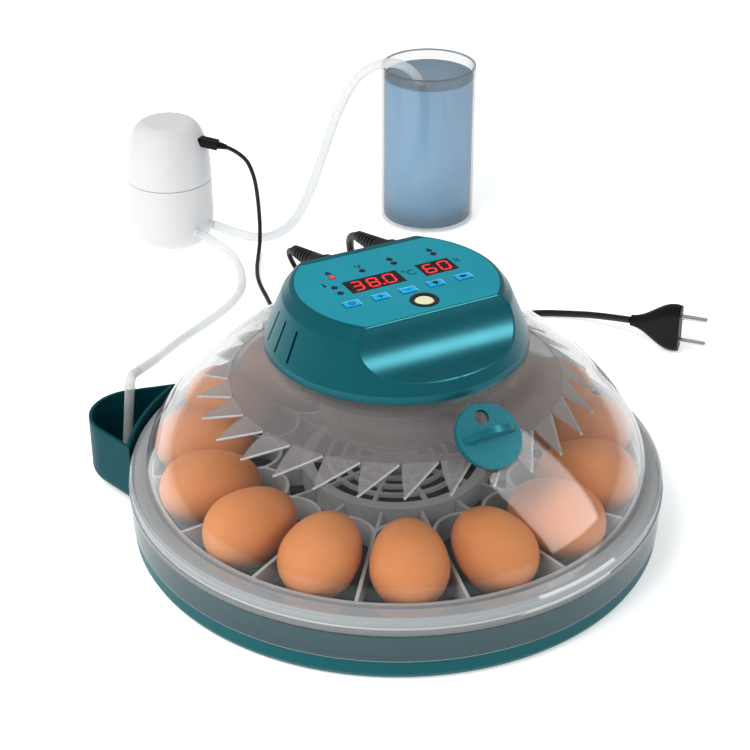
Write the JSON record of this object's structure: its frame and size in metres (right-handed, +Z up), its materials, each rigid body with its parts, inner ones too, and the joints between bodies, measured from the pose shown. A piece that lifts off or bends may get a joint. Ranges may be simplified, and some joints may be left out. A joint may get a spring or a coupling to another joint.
{
  "type": "egg incubator",
  "caption": "Round countertop egg incubator with a clear domed lid, a control head with displays and keys, a turning egg tray and a small pump that fills its water basin from a cup.",
  "frame": {"origin": "centre of the plane that the base's feet stand on, on the axis of the tray and the fan", "axes": "+Z up; -Y is the front, where the control head has its finger recess and the dome its vent knob"},
  "size_m": [0.454, 0.6284, 0.1628],
  "materials": {
    "teal_band": "gloss, moulded",
    "cover_dark": "satin",
    "screw_steel": "zinc plated",
    "foot_rubber": "matt",
    "duct_grey": "satin",
    "motor_steel": "plain",
    "seal_rubber": "soft, pale",
    "tray_plastic": "translucent grey",
    "eggshell": "natural shell, slightly glossy",
    "clear_lid": "clear moulded plastic",
    "clear_guide": "clear moulded plastic",
    "white_nylon": "satin",
    "heater_black": "heat resistant coat",
    "sensor_black": "satin",
    "teal_head": "metallic satin",
    "board_green": "solder mask",
    "label_blue": "printed film",
    "display_black": "filter window",
    "lamp_clear": "clear lens",
    "ring_black": "gloss",
    "lens_warm": "frosted lens",
    "button_blue": "gloss",
    "teal_basin": "gloss",
    "clear_cup": "clear",
    "pump_white": "gloss",
    "tube_clear": "clear silicone",
    "cord_black": "satin",
    "plug_black": "satin",
    "pin_metal": "nickel plated"
  },
  "bodies": {
    "base": {"base_shell": "teal_band", "pool_pan": "teal_band", "base_cover": "cover_dark", "base_screws": "screw_steel", "rubber_feet": "foot_rubber", "water_duct": "duct_grey", "turner_motor": "motor_steel", "lid_seal": "seal_rubber", "water_basin": "teal_basin", "measuring_cup": "clear_cup", "pump_body": "pump_white", "pump_cap": "pump_white", "pump_motor": "motor_steel", "pump_ports": "pump_white", "usb_plug": "plug_black", "outlet_elbow": "tube_clear", "outlet_tube": "tube_clear", "inlet_tube": "tube_clear", "usb_lead": "cord_black", "mains_drop": "cord_black", "mains_coil": "cord_black", "mains_run": "cord_black", "mains_plug": "plug_black", "plug_pins": "pin_metal"},
    "lid": {"dome_shell": "clear_lid", "air_guide": "clear_guide", "guide_vanes": "clear_guide", "fan_shroud": "clear_guide", "fan_guard": "white_nylon", "heater_ring": "heater_black", "sensor_probe": "sensor_black", "head_housing": "teal_head", "head_base": "cover_dark", "head_screws": "screw_steel", "fan_motor": "motor_steel", "control_board": "board_green", "label_plate": "label_blue", "temperature_display": "display_black", "humidity_display": "display_black", "indicator_lamps": "lamp_clear", "candler_ring": "ring_black", "candler_lens": "lens_warm", "usb_boot": "plug_black", "mains_boot": "plug_black"},
    "fan": {"fan_rotor": "white_nylon"},
    "vent": {"vent_knob": "teal_head"},
    "egg_tray": {"tray_ring": "tray_plastic", "tray_dividers": "tray_plastic", "cell_arches": "tray_plastic", "tray_hub": "tray_plastic", "hub_grille": "tray_plastic", "tray_drive": "tray_plastic", "eggs": "eggshell"},
    "button_set": {"button_set": "button_blue"},
    "button_plus": {"button_plus": "button_blue"},
    "button_minus": {"button_minus": "button_blue"},
    "button_lamp": {"button_lamp": "button_blue"},
    "button_mode": {"button_mode": "button_blue"}
  },
  "joints": [
    {"name": "lid_lift", "type": "slide", "parent": "base", "child": "lid", "axis": [0, 0, 1], "range_m": [0, 0.15], "deforming": ["usb_lead", "mains_drop"]},
    {"name": "tray_turn", "type": "hinge", "parent": "base", "child": "egg_tray", "pos_m": [0, 0, 0.02], "axis": [0, 0, 1], "continuous": true},
    {"name": "fan_spin", "type": "hinge", "parent": "lid", "child": "fan", "pos_m": [0, 0, 0.1], "axis": [0, 0, 1], "continuous": true},
    {"name": "vent_turn", "type": "hinge", "parent": "lid", "child": "vent", "pos_m": [0.0015, -0.1015, 0.1112], "axis": [0, -0.62, 0.7846], "range_deg": [-90, 90]},
    {"name": "press_set", "type": "slide", "parent": "lid", "child": "button_set", "axis": [0, 0, -1], "range_m": [0, 0.0008], "stiffness_N_per_m": 400},
    {"name": "press_plus", "type": "slide", "parent": "lid", "child": "button_plus", "axis": [0, 0, -1], "range_m": [0, 0.0008], "stiffness_N_per_m": 400},
    {"name": "press_minus", "type": "slide", "parent": "lid", "child": "button_minus", "axis": [0, 0, -1], "range_m": [0, 0.0008], "stiffness_N_per_m": 400},
    {"name": "press_lamp", "type": "slide", "parent": "lid", "child": "button_lamp", "axis": [0, 0, -1], "range_m": [0, 0.0008], "stiffness_N_per_m": 400},
    {"name": "press_mode", "type": "slide", "parent": "lid", "child": "button_mode", "axis": [0, 0, -1], "range_m": [0, 0.0008], "stiffness_N_per_m": 400}
  ]
}
